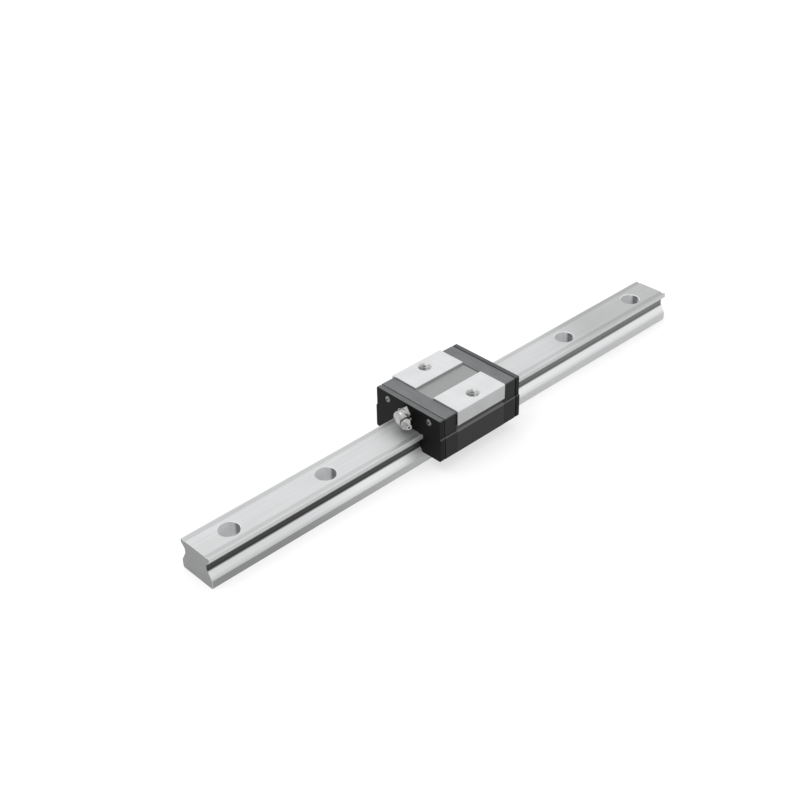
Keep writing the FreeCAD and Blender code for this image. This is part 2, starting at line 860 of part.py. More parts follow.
def make_port_plug():
    """Grub screw in the unused grease port of the rear end."""
    body = new_body("rear_port_plug")
    face = end_face(REAR, "plate_thick", "core_thick", "seal_thick") - size("plug_sunk")
    barrel = new_sketch(body, "barrel", "YZ_Plane", out=face)
    draw_circle(barrel, Size(0.0, "0"), size("port_z"), size("port_radius") - size("port_play"))
    pad(body, "barrel_bar", barrel, size("plug_thick"), toward=FRONT)
    socket = new_sketch(body, "socket", "YZ_Plane", out=face)
    draw_hexagon(socket, Size(0.0, "0"), size("port_z"), size("plug_socket_flats"))
    pocket(body, "socket_cut", socket, size("plug_socket_deep"), toward=FRONT)
    return body


def nozzle_pose(along):
    """Placement whose +Z runs out along the nozzle, moved along it from the nipple's turn."""
    lean = math.radians(DIMENSIONS["nipple_turn"])
    face = end_face(FRONT, "plate_thick", "core_thick", "seal_thick").number
    outward = FreeCAD.Vector(-math.cos(lean), -math.sin(lean), 0)
    bend = FreeCAD.Vector(face - DIMENSIONS["nipple_turn_from_face"], 0, DIMENSIONS["port_z"])
    return FreeCAD.Placement(bend + outward * along, FreeCAD.Rotation(FreeCAD.Vector(0, 0, 1), outward))


def revolved(points, placement):
    """A solid turned about the placement's +Z from (radius, height) points on one side of it."""
    corners = [FreeCAD.Vector(radius, 0, height) for radius, height in points]
    face = Part.Face(Part.makePolygon(corners + corners[:1]))
    solid = face.revolve(FreeCAD.Vector(), FreeCAD.Vector(0, 0, 1), 360)
    solid.Placement = placement
    return solid


def hexagon_bar(flats, length, bevel, placement):
    """A hexagonal bar along the placement's +Z, with the corners of both ends turned off."""
    corner = flats / math.sqrt(3)
    corners = [
        FreeCAD.Vector(corner * math.cos(math.radians(60 * step)), corner * math.sin(math.radians(60 * step)), 0)
        for step in range(7)
    ]
    bar = Part.Face(Part.makePolygon(corners)).extrude(FreeCAD.Vector(0, 0, length))
    bar.Placement = placement
    turning = revolved([
        (0.0, 0.0), (corner - bevel, 0.0), (corner, bevel), (corner, length - bevel),
        (corner - bevel, length), (0.0, length),
    ], placement)
    return bar.common(turning)


def make_grease_nipple():
    """Angled nipple: threaded stem, hexagon, round body and a nozzle that leans to the right."""
    item = doc.addObject("Part::Feature", "grease_nipple")
    item.Label = "grease_nipple"
    face = end_face(FRONT, "plate_thick", "core_thick", "seal_thick").number
    out = FreeCAD.Rotation(FreeCAD.Vector(0, 0, 1), FreeCAD.Vector(-1, 0, 0))
    stem_pose = FreeCAD.Placement(FreeCAD.Vector(face, 0, DIMENSIONS["port_z"]), out)
    stem_radius = DIMENSIONS["port_radius"] - DIMENSIONS["port_play"]
    tip_bevel = DIMENSIONS["nipple_tip_bevel"]
    hex_bevel = DIMENSIONS["nipple_hex_bevel"]
    crown = DIMENSIONS["nipple_crown"]
    step = DIMENSIONS["nipple_crown_step"]
    body_radius = DIMENSIONS["nipple_body_radius"]
    body_long = DIMENSIONS["nipple_body_long"]
    stem = revolved([
        (0.0, -DIMENSIONS["port_thread_deep"]),
        (stem_radius - tip_bevel, -DIMENSIONS["port_thread_deep"]),
        (stem_radius, tip_bevel - DIMENSIONS["port_thread_deep"]),
        (stem_radius, 0.0),
        (body_radius, 0.0),
        (body_radius, body_long - crown),
        (body_radius - step, body_long - step),
        (body_radius - crown, body_long),
        (0.0, body_long),
    ], stem_pose)
    hexagon = hexagon_bar(DIMENSIONS["nipple_flats"], DIMENSIONS["nipple_hex_long"], hex_bevel, stem_pose)
    nozzle_base = hexagon_bar(DIMENSIONS["nozzle_flats"], DIMENSIONS["nozzle_hex_end"], hex_bevel, nozzle_pose(0))
    nozzle = revolved([
        (0.0, 0.0),
        (DIMENSIONS["nozzle_neck_radius"], 0.0),
        (DIMENSIONS["nozzle_neck_radius"], DIMENSIONS["nozzle_neck_end"]),
        (DIMENSIONS["nozzle_rim_radius"], DIMENSIONS["nozzle_rim_start"]),
        (DIMENSIONS["nozzle_rim_radius"], DIMENSIONS["nozzle_rim_end"]),
        (DIMENSIONS["nozzle_tip_radius"], DIMENSIONS["nozzle_long"]),
        (0.0, DIMENSIONS["nozzle_long"]),
    ], nozzle_pose(0))
    bore = revolved([
        (0.0, DIMENSIONS["nozzle_bore_start"]),
        (DIMENSIONS["nozzle_bore"], DIMENSIONS["nozzle_bore_start"]),
        (DIMENSIONS["nozzle_bore"], DIMENSIONS["nozzle_seat_start"]),
        (DIMENSIONS["nozzle_mouth"], DIMENSIONS["nozzle_seat_start"] + DIMENSIONS["nozzle_seat_long"]),
        (DIMENSIONS["nozzle_mouth"], DIMENSIONS["nozzle_long"] + 1.0),
        (0.0, DIMENSIONS["nozzle_long"] + 1.0),
    ], nozzle_pose(0))
    feed_length = DIMENSIONS["port_thread_deep"] + DIMENSIONS["nipple_turn_from_face"]
    feed = Part.makeCylinder(DIMENSIONS["feed_radius"], feed_length + 1.0,
                             FreeCAD.Vector(0, 0, -DIMENSIONS["port_thread_deep"] - 1.0))
    feed.Placement = stem_pose
    elbow = Part.makeCylinder(DIMENSIONS["feed_radius"], DIMENSIONS["nozzle_bore_start"] + 0.1)
    elbow.Placement = nozzle_pose(0)
    solid = stem.fuse([hexagon, nozzle_base, nozzle]).cut([bore, feed, elbow])
    item.Shape = solid.removeSplitter()
    return item


def make_check_ball():
    item = doc.addObject("Part::Feature", "nipple_check_ball")
    item.Label = "nipple_check_ball"
    item.Shape = Part.makeSphere(DIMENSIONS["check_ball_radius"])
    item.Placement = nozzle_pose(DIMENSIONS["check_ball_at"])
    return item


def make_spring():
    """Small coil spring behind the check ball."""
    item = doc.addObject("Part::Feature", "nipple_spring")
    item.Label = "nipple_spring"
    wire_radius = DIMENSIONS["spring_wire_radius"]
    free_length = DIMENSIONS["spring_end"] - DIMENSIONS["spring_start"] - 2 * wire_radius
    coil_radius = DIMENSIONS["spring_radius"]
    helix = Part.makeHelix(free_length / DIMENSIONS["spring_turns"], free_length, coil_radius)
    ring = Part.Wire(Part.Circle(FreeCAD.Vector(coil_radius, 0, 0), FreeCAD.Vector(0, 1, 0), wire_radius).toShape())
    item.Shape = Part.Wire(helix).makePipeShell([ring], True, True)
    item.Placement = nozzle_pose(DIMENSIONS["spring_start"] + wire_radius)
    return item


# ------------------------------------------------- retainers and side seals

def make_upper_retainer():
    """Strip under the tunnel roof that keeps both upper ball rows in."""
    body = new_body("upper_ball_retainer")
    section = new_sketch(body, "section", "YZ_Plane")
    draw_outline(section, mirrored([
        (size("upper_retainer_top_half"), size("tunnel_roof")),
        (size("upper_retainer_half"), size("upper_retainer_bottom")),
    ]))
    pad(body, "strip", section, size("block_length"))
    return body


def make_lower_retainer(side_name):
    """Angle strip under one lower ball row."""
    side = SIDES[side_name]
    body = new_body(f"lower_ball_retainer_{side_name}")
    tip = size("lower_retainer_tip") * side
    web = size("lower_retainer_web") * side
    back = size("leg_inner") * side
    top = size("leg_tip_z")
    under = top - size("lower_retainer_thick")
    bottom = size("lower_retainer_bottom")
    section = new_sketch(body, "section", "YZ_Plane")
    draw_outline(section, [(tip, top), (tip, under), (web, under), (web, bottom), (back, bottom), (back, top)])
    pad(body, "strip", section, size("block_length"))
    return body


def make_side_seal(side_name):
    """Strip in the foot of one leg, with an edge that closes the gap to the rail."""
    side = SIDES[side_name]
    body = new_body(f"side_seal_{side_name}")
    outer = size("side_seal_outer") * side
    inner = (size("leg_inner") - 0.1) * side
    edge = size("side_seal_edge") * side
    top = size("seal_seat_z")
    bottom = top - size("side_seal_thick")
    section = new_sketch(body, "section", "YZ_Plane")
    draw_outline(section, [
        (outer, top),
        (outer, bottom),
        (inner, bottom),
        (edge, top - size("side_seal_lip_tall")),
        (edge, top),
    ])
    pad(body, "strip", section, size("block_length"))
    return body


# -------------------------------------------------------------------- all

def seat_on_rail(part):
    """Move a carriage part from the rail's middle to the carriage's place on it."""
    start = part.Placement.Base.x
    part.Placement.Base.x = start + DIMENSIONS["carriage_x"]
    part.setExpression("Placement.Base.x", f"Sizes.carriage_x + {start!r}")


def make_carriage():
    parts = [make_block(), make_upper_retainer()]
    for side_name in SIDES:
        parts.append(make_lower_retainer(side_name))
        parts.append(make_side_seal(side_name))
        for row in ("upper", "lower"):
            parts.append(make_balls(row, side_name))
    for end_name in ENDS:
        parts.append(make_end_plate(end_name))
        parts.append(make_seal_core(end_name))
        parts.append(make_end_seal(end_name))
        parts.append(make_end_screws(end_name))
        for side_name in SIDES:
            parts.append(make_return_guide(end_name, side_name))
    parts += [make_port_plug(), make_grease_nipple(), make_check_ball(), make_spring()]
    for part in parts:
        seat_on_rail(part)
    return parts


def check_and_export(parts):
    doc.recompute()
    for item in doc.Objects:
        if "Invalid" in item.State or "Error" in item.State:
            raise RuntimeError(f"{item.Name} is {item.State}")
    for part in parts:
        if part.Shape.isNull() or not part.Shape.isValid():
            raise RuntimeError(f"{part.Label} has no valid shape")
    os.makedirs("parts", exist_ok=True)
    for part in parts:
        part.Shape.exportStep(f"parts/{part.Label}.step")
        box = part.Shape.BoundBox
        print(f"{part.Label}: {len(part.Shape.Solids)} solid(s), {part.Shape.Volume:.1f} mm3, "
              f"x {box.XMin:.2f}..{box.XMax:.2f} y {box.YMin:.2f}..{box.YMax:.2f} z {box.ZMin:.2f}..{box.ZMax:.2f}")


make_sheet()
check_and_export([make_rail()] + make_carriage())
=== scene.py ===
import json
import math

import bmesh
import bpy
from mathutils import Matrix, Vector


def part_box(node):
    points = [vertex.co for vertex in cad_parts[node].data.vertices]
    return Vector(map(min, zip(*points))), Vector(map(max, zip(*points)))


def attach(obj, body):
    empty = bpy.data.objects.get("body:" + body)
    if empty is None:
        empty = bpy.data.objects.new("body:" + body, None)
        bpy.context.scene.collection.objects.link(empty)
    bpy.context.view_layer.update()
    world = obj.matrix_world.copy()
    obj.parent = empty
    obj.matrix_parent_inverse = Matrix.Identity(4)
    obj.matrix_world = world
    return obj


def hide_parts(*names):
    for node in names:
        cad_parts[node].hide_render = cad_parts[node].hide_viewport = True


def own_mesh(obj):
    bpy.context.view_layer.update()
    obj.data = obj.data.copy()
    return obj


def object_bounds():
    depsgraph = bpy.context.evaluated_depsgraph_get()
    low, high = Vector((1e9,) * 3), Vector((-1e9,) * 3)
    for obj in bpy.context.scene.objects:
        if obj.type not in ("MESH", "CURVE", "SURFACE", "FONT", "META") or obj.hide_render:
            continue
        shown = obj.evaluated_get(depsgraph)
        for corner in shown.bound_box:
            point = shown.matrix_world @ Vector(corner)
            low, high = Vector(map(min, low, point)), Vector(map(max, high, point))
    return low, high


MM = 0.001

# Camera: where it looks, from which side, and how far away
CAMERA_TARGET = Vector((-5.9, 35.1, 4.2)) * MM
CAMERA_AZIMUTH = -43.2
CAMERA_ELEVATION = 34.2
CAMERA_ROLL = -1.2
CAMERA_DISTANCE = 733.0 * MM
CAMERA_LENS = 60.1

# Direction of the dark wall that gives bright metal something to mirror
DARK_WALL = (-0.66, -0.70, 0.27)
FLOOR_HALF = 3.0

# Where each finish, painted shade and painted light of the rail shows: heights above its foot and distances
# from its middle
BOLT_PITCH = 60.0 * MM
COUNTERBORE_RADIUS = 5.9 * MM
RAIL_TOP = 18.0 * MM
RAIL_FOOT_SIDE = 11.4 * MM
HEAD_SIDE = 10.6 * MM
HEAD_HEIGHTS = (13.5 * MM, 17.7 * MM)
FLARE_HEIGHTS = (5.15 * MM, 13.0 * MM)
UNDERCUT_FOOT = 9.1 * MM
UNDERCUT_TOP = 13.9 * MM
GROOVE_MIDDLE = 8.6 * MM
GROOVE_HALF = 1.21 * MM
GROOVE_FLOOR = 17.0 * MM

# The same for the carriage's block
LAND_FOOT = 32.3 * MM
LAND_SIDE = 6.3 * MM
CHANNEL_FLOOR = 31.0 * MM
BLOCK_SIDE = 23.4 * MM
BAND_BOTTOM = 24.0 * MM
NOTCH_FOOT = 21.3 * MM
SHELF_HEIGHTS = (20.2 * MM, 21.25 * MM)
SHELF_SIDE = 22.9 * MM

# Noise lies mostly between these two values
NOISE_LOW, NOISE_HIGH = 0.3, 0.7

# The tapped holes' threads
THREAD_RADIUS = 3.0 * MM
THREAD_CORE = 2.5 * MM
THREAD_PITCH = 1.0 * MM
THREAD_DEEP = 9.0 * MM
THREAD_MOUTH = 0.6 * MM
THREAD_RIM = 0.12 * MM
THREAD_SLOPE = 1.25
THREAD_RIM_RADIUS = 3.6 * MM
THREAD_PLAY = 0.03 * MM
THREAD_ROWS = 8
THREAD_SEGMENTS = 48

# Points this close are one. Angles in degrees: below the first, faces merge; above the others, edges
# are eased or stay sharp
WELD_REACH = 0.0005 * MM
FLAT_ANGLE = 0.5
EASED_ANGLE = 32
SHARP_ANGLE = 28
THREAD_SHARP_ANGLE = 35

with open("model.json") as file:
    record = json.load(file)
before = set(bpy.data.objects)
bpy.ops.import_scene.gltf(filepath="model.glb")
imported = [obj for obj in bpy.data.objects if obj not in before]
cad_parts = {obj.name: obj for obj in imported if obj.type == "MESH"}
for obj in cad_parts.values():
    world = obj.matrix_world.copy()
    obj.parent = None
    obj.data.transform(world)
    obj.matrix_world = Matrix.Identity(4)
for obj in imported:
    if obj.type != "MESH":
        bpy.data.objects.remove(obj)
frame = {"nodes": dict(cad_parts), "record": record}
cad_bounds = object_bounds()
record = frame["record"]
node_body = {node: body for body, nodes in record["behaviour"]["bodies"].items() for node in nodes}
node_slot = {part["node"]: part["material_slot"] for part in record["subparts"]}


# ----------------------------------------------------------------- camera

def make_camera():
    """A camera on a sphere round its target, with a small roll."""
    azimuth = math.radians(CAMERA_AZIMUTH)
    elevation = math.radians(CAMERA_ELEVATION)
    back = Vector((
        math.sin(azimuth) * math.cos(elevation),
        -math.cos(azimuth) * math.cos(elevation),
        math.sin(elevation),
    ))
    right = Vector((0, 0, 1)).cross(back).normalized()
    up = back.cross(right)
    turn = Matrix((right, up, back)).transposed()
    roll = Matrix.Rotation(math.radians(CAMERA_ROLL), 3, "Z")
    data = bpy.data.cameras.new("camera")
    data.lens = CAMERA_LENS
    data.clip_start = 0.01
    camera = bpy.data.objects.new("camera", data)
    camera.matrix_world = Matrix.Translation(CAMERA_TARGET + back * CAMERA_DISTANCE) @ (turn @ roll).to_4x4()
    bpy.context.scene.collection.objects.link(camera)
    bpy.context.scene.camera = camera


# ----------------------------------------------------------- shader helpers

class Surface:
    """One procedural material, with short calls for the nodes that it is made of."""

    def __init__(self, name):
        self.material = bpy.data.materials.new(name)
        self.material.use_nodes = True
        self.tree = self.material.node_tree
        self.shader = self.tree.nodes["Principled BSDF"]
        self.place = self.add("ShaderNodeTexCoord").outputs["Object"]
        self.bumps = None

    def add(self, kind, inputs=None, **settings):
        """Add a node; an input is a number, a colour, or another node's output."""
        node = self.tree.nodes.new(kind)
        for name, value in settings.items():
            setattr(node, name, value)
        for key, value in (inputs or {}).items():
            if isinstance(value, bpy.types.NodeSocket):
                self.tree.links.new(value, node.inputs[key])
            else:
                node.inputs[key].default_value = value
        return node

    def math(self, operation, first, second=0.0, third=0.0):
        return self.add("ShaderNodeMath", {0: first, 1: second, 2: third}, operation=operation).outputs[0]

    def axes(self):
        """The surface point's own X, Y and Z, in metres."""
        return self.add("ShaderNodeSeparateXYZ", {0: self.place}).outputs

    def product(self, first, *others):
        for other in others:
            first = self.math("MULTIPLY", first, other)
        return first

    def facing(self):
        """How squarely the surface faces along the piece's X, Y and Z, each from -1 to 1."""
        normal = self.add("ShaderNodeNewGeometry").outputs["True Normal"]
        own = self.add("ShaderNodeVectorTransform", {0: normal}, vector_type="NORMAL",
                       convert_from="WORLD", convert_to="OBJECT").outputs[0]
        return self.add("ShaderNodeSeparateXYZ", {0: own}).outputs

    def distance(self, first, second):
        """Length of the step made of two steps at right angles."""
        squares = [self.product(step, step) for step in (first, second)]
        return self.math("SQRT", self.math("ADD", *squares))

    def band(self, value, low, high, soft):
        """1 between two values, fading to 0 over a soft edge outside them."""
        return self.product(self.rise(value, low - soft, low), self.rise(value, high + soft, high))

    def tinted(self, tone, tint):
        """A grey of this tone; a positive tint is slightly blue, a negative one slightly warm."""
        return self.add("ShaderNodeCombineColor", {
            0: self.product(tone, 1 - tint), 1: tone, 2: self.product(tone, 1 + tint),
        }).outputs[0]

    def noise(self, size, detail=3.0, roughness=0.55, stretch=(1, 1, 1), distortion=0.0):
        """Noise whose blotches are about one size, in metres, longer where stretched."""
        scale = tuple(1.0 / (size * length) for length in stretch)
        place = self.add("ShaderNodeMapping", {"Vector": self.place, "Scale": scale}).outputs[0]
        return self.add("ShaderNodeTexNoise", {
            "Vector": place, "Scale": 1.0, "Detail": detail, "Roughness": roughness,
            "Distortion": distortion,
        }).outputs["Fac"]

    def specks(self, size):
        """Round cells of about one size, in metres, as the distance from each one's middle."""
        cells = self.add("ShaderNodeTexVoronoi", {"Vector": self.place, "Scale": 1.0 / size})
        return cells.outputs["Distance"]

    def remap(self, value, low, high, to_low, to_high, smooth=False):
        kind = "SMOOTHSTEP" if smooth else "LINEAR"
        return self.add("ShaderNodeMapRange", {
            "Value": value, "From Min": low, "From Max": high, "To Min": to_low, "To Max": to_high,
        }, interpolation_type=kind).outputs[0]

    def rise(self, value, start, end, smooth=False):
        """0 at the start and 1 at the end, which may be the lower value of the two."""
        return self.remap(value, start, end, 0.0, 1.0, smooth)

    def vary(self, noise, low, high):
        """Spread a noise between two numbers."""
        return self.remap(noise, NOISE_LOW, NOISE_HIGH, low, high)

    def blend(self, share, first, second):
        """Number between two numbers."""
        node = self.add("ShaderNodeMix", {0: share, 2: first, 3: second}, data_type="FLOAT")
        return node.outputs[0]

    def edges(self, radius, reach=0.35):
        """1 on the outer edges of the piece, fading out within the radius."""
        geometry = self.add("ShaderNodeNewGeometry")
        rounded = self.add("ShaderNodeBevel", {"Radius": radius}, samples=4).outputs[0]
        dot = self.add("ShaderNodeVectorMath", {0: rounded, 1: geometry.outputs["Normal"]},
                       operation="DOT_PRODUCT").outputs["Value"]
        return self.rise(dot, 1.0, 1.0 - reach)

    def bump(self, height, distance, strength=1.0):
        """Stack one more layer of relief on the surface."""
        inputs = {"Height": height, "Distance": distance, "Strength": strength}
        if self.bumps is not None:
            inputs["Normal"] = self.bumps
        self.bumps = self.add("ShaderNodeBump", inputs).outputs[0]

    def finish(self, colour, roughness, metallic=0.0, **constants):
        for key, value in (("Base Color", colour), ("Roughness", roughness), ("Metallic", metallic)):
            if isinstance(value, bpy.types.NodeSocket):
                self.tree.links.new(value, self.shader.inputs[key])
            else:
                self.shader.inputs[key].default_value = value
        for key, value in constants.items():
            self.shader.inputs[key.replace("_", " ")].default_value = value
        if self.bumps is not None:
            self.tree.links.new(self.bumps, self.shader.inputs["Normal"])
        return self.material


# -------------------------------------------------------------- materials

def ground_steel():
    """Rail: surface-ground lengthways, sawn at the ends, with painted shade in the undercuts, on the head's
    side, on the foot and in the raceway grooves, painted light on the flare, and tones painted lighter or
    darker along the rail.
    """
    s = Surface("rail_steel")
    x, y, z = s.axes()
    facing = s.facing()
    across = s.math("ABSOLUTE", y)
    half_pitch = BOLT_PITCH / 2
    along = s.math("WRAP", s.math("SUBTRACT", x, half_pitch), half_pitch, -half_pitch)
    from_hole = s.distance(along, y)
    lines = s.noise(0.16 * MM, 4.0, 0.6, (260, 1, 1))
    wide_lines = s.noise(1.1 * MM, 2.0, 0.5, (120, 1, 1))
    saw_marks = s.noise(0.25 * MM, 3.0, 0.6, (1, 30, 1))
    clouds = s.noise(14 * MM, 3.0, 0.5, (3, 1, 1))

    sawn = s.rise(s.math("ABSOLUTE", facing[0]), 0.90, 0.97)
    foot = s.rise(across, RAIL_FOOT_SIDE, RAIL_FOOT_SIDE + 0.06 * MM)
    undercut = s.product(s.rise(z, UNDERCUT_FOOT, UNDERCUT_FOOT + MM, smooth=True),
                         s.rise(z, UNDERCUT_TOP, UNDERCUT_TOP - 0.2 * MM))
    drilled = s.product(s.rise(from_hole, COUNTERBORE_RADIUS, COUNTERBORE_RADIUS - 0.1 * MM),
                        s.rise(z, RAIL_TOP - 0.02 * MM, RAIL_TOP - 0.1 * MM))
    head_side = s.product(s.band(z, *HEAD_HEIGHTS, 0.1 * MM), s.rise(across, HEAD_SIDE, HEAD_SIDE + 0.2 * MM))
    flare = s.product(s.band(z, *FLARE_HEIGHTS, 0.1 * MM), s.rise(facing[2], 0.3, 0.45))
    groove = s.product(s.math("COMPARE", across, GROOVE_MIDDLE, GROOVE_HALF),
                       s.rise(z, RAIL_TOP, RAIL_TOP - 0.1 * MM),
                       s.rise(z, GROOVE_FLOOR, GROOVE_FLOOR + 0.1 * MM))

    # painted shade: the ground faces are painted about a quarter darker toward the +X end
    ground_tone = s.product(s.vary(lines, 0.60, 0.68), s.vary(clouds, 0.95, 1.04),
                            s.vary(wide_lines, 0.96, 1.04),
                            s.remap(x, 60 * MM, 115 * MM, 1.0, 0.74, smooth=True))
    # painted shade on the head's side: near black low down, lighter toward the top
    painted_head_shade = s.remap(z, 13.0 * MM, 16.8 * MM, 0.03, 0.55, smooth=True)
    # painted shade on the foot's side: darkest at the -X end and lighter toward the middle, over grinding
    # lines
    painted_foot_shade = s.product(s.remap(x, -120 * MM, -20 * MM, 0.26, 0.54), s.vary(lines, 0.88, 1.12))
    # painted light on the flare: lighter higher up and toward the -X end, slightly darker toward the +X end
    painted_flare_light = s.product(s.remap(z, 5.1 * MM, 7.2 * MM, 0.55, 0.76), s.vary(lines, 0.95, 1.05),
                           s.remap(x, -115 * MM, -70 * MM, 1.0, 1.20, smooth=True),
                           s.remap(x, 20 * MM, 110 * MM, 1.0, 0.93))
    # painted shade in the undercut: near black, lightening toward the +X end
    painted_undercut_shade = s.product(s.remap(x, -115 * MM, 100 * MM, 1.0, 4.5), s.vary(wide_lines, 0.022, 0.04))
    tone = s.blend(head_side, ground_tone, painted_head_shade)
    tone = s.blend(foot, tone, painted_foot_shade)
    tone = s.blend(flare, tone, painted_flare_light)
    tone = s.blend(undercut, tone, painted_undercut_shade)
    tone = s.blend(drilled, tone, s.vary(saw_marks, 0.88, 0.98))
    tone = s.blend(sawn, tone, s.vary(saw_marks, 0.22, 0.31))
    # painted shade: the raceway grooves are painted darker
    tone = s.product(tone, s.remap(groove, 0.0, 1.0, 1.0, 0.84))
    # edge wear and painted highlight: the edges are painted slightly lighter
    tone = s.math("ADD", tone, s.product(s.edges(0.35 * MM), 0.04))

    rough = s.blend(sawn, s.vary(lines, 0.30, 0.46), 0.48)
    rough = s.blend(groove, s.product(rough, s.vary(clouds, 0.9, 1.1)), 0.28)
    s.bump(lines, 0.004 * MM, 0.6)
    s.bump(s.product(sawn, saw_marks), 0.02 * MM, 0.8)
    return s.finish(s.tinted(tone, 0.008), rough, s.blend(drilled, 0.5, 0.3), Anisotropic=0.35)


def block_steel():
    """Block: ground lands and side bands, grey scale in the centre channel, black skirt below; painted shade
    darkens the side bands, painted light brightens the up-facing shelf, and edge wear with painted highlight
    brightens the edges.
    """
    s = Surface("block_steel")
    _, y, z = s.axes()
    across = s.math("ABSOLUTE", y)
    lines = s.noise(0.14 * MM, 4.0, 0.6, (1, 150, 1))
    side_lines = s.noise(0.14 * MM, 4.0, 0.6, (150, 1, 1))
    clouds = s.noise(9 * MM, 3.0, 0.5)
    grain = s.noise(0.35 * MM, 4.0, 0.6)
    pits = s.specks(0.55 * MM)
    # edge mask: edge wear on the black skirt and painted highlight on the ground faces
    edge_wear_and_highlight = s.edges(0.3 * MM)

    above = s.rise(z, LAND_FOOT, LAND_FOOT + 0.2 * MM)
    land = s.product(above, s.rise(across, LAND_SIDE, LAND_SIDE + 0.15 * MM))
    side = s.product(s.rise(z, BAND_BOTTOM - 0.05 * MM, BAND_BOTTOM + 0.05 * MM),
                     s.rise(across, BLOCK_SIDE, BLOCK_SIDE + 0.2 * MM))
    side_face = s.product(side, s.math("SUBTRACT", 1.0, above))
    ground = s.math("MAXIMUM", land, side)
    raw = s.math("SUBTRACT", 1.0, ground)
    channel = s.product(s.rise(z, CHANNEL_FLOOR, CHANNEL_FLOOR + 0.3 * MM), raw)
    notch = s.band(z, NOTCH_FOOT, BAND_BOTTOM - 0.06 * MM, 0.04 * MM)
    shelf = s.product(s.band(z, *SHELF_HEIGHTS, 0.08 * MM), s.rise(across, SHELF_SIDE, SHELF_SIDE + 0.1 * MM))

    marks = s.blend(side_face, lines, side_lines)
    # painted shade: the ground side bands are painted darker than the lands
    ground_tone = s.blend(side_face, s.vary(lines, 0.66, 0.74), s.vary(side_lines, 0.39, 0.46))
    ground_tone = s.product(ground_tone, s.vary(clouds, 0.96, 1.04))
    black_tone = s.math("ADD", s.vary(grain, 0.005, 0.012), s.product(edge_wear_and_highlight, 0.03))
    black_tone = s.blend(notch, black_tone, 0.035)
    # painted light: the up-facing shelf is painted lighter than the black below it
    black_tone = s.blend(shelf, black_tone, 0.14)
    tone = s.blend(channel, black_tone, s.vary(grain, 0.30, 0.38))
    tone = s.blend(ground, tone, ground_tone)
    # painted highlight, with edge wear: the edges of the ground faces are painted much brighter
    tone = s.math("ADD", tone, s.product(edge_wear_and_highlight, ground, 0.30))

    rough = s.blend(channel, s.vary(grain, 0.44, 0.58), s.vary(grain, 0.36, 0.5))
    rough = s.blend(ground, rough, s.vary(marks, 0.28, 0.42))
    metal = s.blend(s.math("MAXIMUM", ground, channel), 0.0, 0.85)
    s.bump(marks, 0.004 * MM, 0.5)
    s.bump(s.product(raw, grain), 0.03 * MM, 0.6)
    s.bump(s.product(raw, s.rise(pits, 0.0, 0.35)), 0.01 * MM, 0.5)
    return s.finish(s.tinted(tone, 0.008), rough, metal, Specular_IOR_Level=0.3)


def moulded_black(name, lit_top_tone, shaded_side_tone, grain_size, rough_low, rough_high):
    """Black moulding: fine spark grain, flow marks, painted light making up-facing faces grey and side faces
    near black, and edges painted lighter as edge wear and painted highlight.
    """
    s = Surface(name)
    grain = s.noise(grain_size, 4.0, 0.65)
    cells = s.specks(grain_size * 2.2)
    flow = s.noise(7 * MM, 2.0, 0.5, (1, 2.5, 1), 0.8)
    scuffs = s.noise(0.5 * MM, 2.0, 0.5, (12, 1, 1))
    # painted light: up-facing faces get the lighter top tone, side faces the near-black one
    painted_top_light = s.rise(s.facing()[2], 0.35, 0.95)
    tone = s.blend(painted_top_light, shaded_side_tone, lit_top_tone)
    tone = s.product(tone, s.vary(flow, 0.88, 1.12), s.vary(grain, 0.92, 1.08))
    # edge wear and painted highlight: edges painted slightly lighter
    tone = s.math("ADD", tone, s.product(s.edges(0.25 * MM), 0.015))
    rough = s.math("ADD", s.vary(grain, rough_low, rough_high), s.remap(scuffs, 0.62, 0.75, 0.0, 0.08))
    s.bump(cells, 0.012 * MM, 0.6)
    s.bump(grain, 0.010 * MM, 0.7)
    return s.finish(s.tinted(tone, 0.02), rough, 0.0, Specular_IOR_Level=0.17)


def bright_metal(name, tone_low, tone_high, rough_low, rough_high, tint, turned=0.0):
    """Plated or turned metal: fine handling marks, slightly uneven gloss, and edges painted lighter as edge
    wear and painted highlight.
    """
    s = Surface(name)
    marks = s.noise(0.22 * MM, 3.0, 0.6)
    clouds = s.noise(2.4 * MM, 3.0, 0.5)
    dents = s.specks(0.8 * MM)
    # edge wear and painted highlight: the edges are painted lighter
    tone = s.math("ADD", s.vary(clouds, tone_low, tone_high), s.product(s.edges(0.18 * MM), 0.10))
    s.bump(marks, 0.004 * MM, 0.5)
    s.bump(s.rise(dents, 0.0, 0.25), 0.006 * MM, 0.35)
    return s.finish(s.tinted(tone, tint), s.vary(marks, rough_low, rough_high), 1.0, Anisotropic=turned)


def make_materials():
    return {
        "rail_steel": ground_steel(),
        "block_steel": block_steel(),
        "pressed_steel": bright_metal("pressed_steel", 0.30, 0.40, 0.30, 0.44, 0.0),
        "screw_steel": bright_metal("screw_steel", 0.20, 0.30, 0.26, 0.40, 0.01),
        "nipple_plate": bright_metal("nipple_plate", 0.34, 0.46, 0.10, 0.20, -0.01, 0.2),
        "thread_steel": bright_metal("thread_steel", 0.42, 0.55, 0.24, 0.38, 0.0),
        "ball_steel": bright_metal("ball_steel", 0.66, 0.72, 0.05, 0.10, 0.0),
        "end_plate_resin": moulded_black("end_plate_resin", 0.178, 0.007, 0.10 * MM, 0.40, 0.52),
        "guide_resin": moulded_black("guide_resin", 0.06, 0.03, 0.12 * MM, 0.40, 0.52),
        "seal_rubber": moulded_black("seal_rubber", 0.145, 0.003, 0.08 * MM, 0.55, 0.70),
        # the rear seal: a copy of seal_rubber with painted shade on its top
        "seal_rubber_rear": moulded_black("seal_rubber_rear", 0.100, 0.003, 0.08 * MM, 0.55, 0.70),
        "coated_core": moulded_black("coated_core", 0.150, 0.010, 0.15 * MM, 0.40, 0.52),
    }


